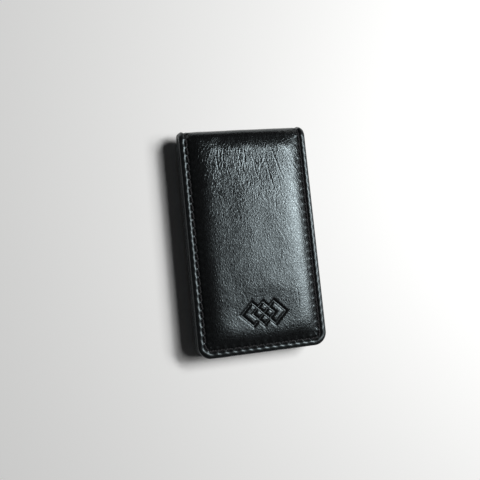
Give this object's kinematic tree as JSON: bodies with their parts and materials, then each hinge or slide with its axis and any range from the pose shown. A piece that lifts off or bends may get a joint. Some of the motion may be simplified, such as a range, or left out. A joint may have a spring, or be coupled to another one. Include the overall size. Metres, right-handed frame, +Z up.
{
  "type": "money clip",
  "caption": "Folded leather money clip with padded, stitched flaps that hidden magnets hold shut over banknotes.",
  "frame": {"origin": "under the middle of the closed clip, on the surface that its back lies on", "axes": "+X across the width, +Y along the length towards the fold, so the free ends are at -Y, +Z up out of the front flap"},
  "size_m": [0.0454, 0.0786, 0.0116],
  "materials": {
    "leather": "satin",
    "lining": "satin",
    "thread": "satin",
    "board": "matte",
    "foam": "matte",
    "magnet": "polished"
  },
  "bodies": {
    "back_panel": {"back_leather": "leather", "back_foam_pad": "foam", "back_magnet_near_end": "magnet", "back_magnet_near_fold": "magnet", "back_board": "board", "back_lining": "lining", "back_stitching": "thread"},
    "fold": {"fold_leather": "leather", "fold_lining": "lining", "fold_stitching_left": "thread", "fold_stitching_right": "thread"},
    "front_panel": {"front_leather": "leather", "front_foam_pad": "foam", "front_magnet_near_end": "magnet", "front_magnet_near_fold": "magnet", "front_board": "board", "front_lining": "lining", "front_stitching": "thread"}
  },
  "joints": [
    {"name": "back_fold_hinge", "type": "hinge", "parent": "back_panel", "child": "fold", "pos_m": [0, 0.03716, 0.0024], "axis": [-1, 0, 0], "range_deg": [0, 90]},
    {"name": "front_fold_hinge", "type": "hinge", "parent": "fold", "child": "front_panel", "pos_m": [0, 0.03716, 0.0092], "axis": [-1, 0, 0], "range_deg": [0, 90]}
  ],
  "couplings": [
    {"joint": "front_fold_hinge", "follows": "back_fold_hinge", "ratio": 1}
  ]
}
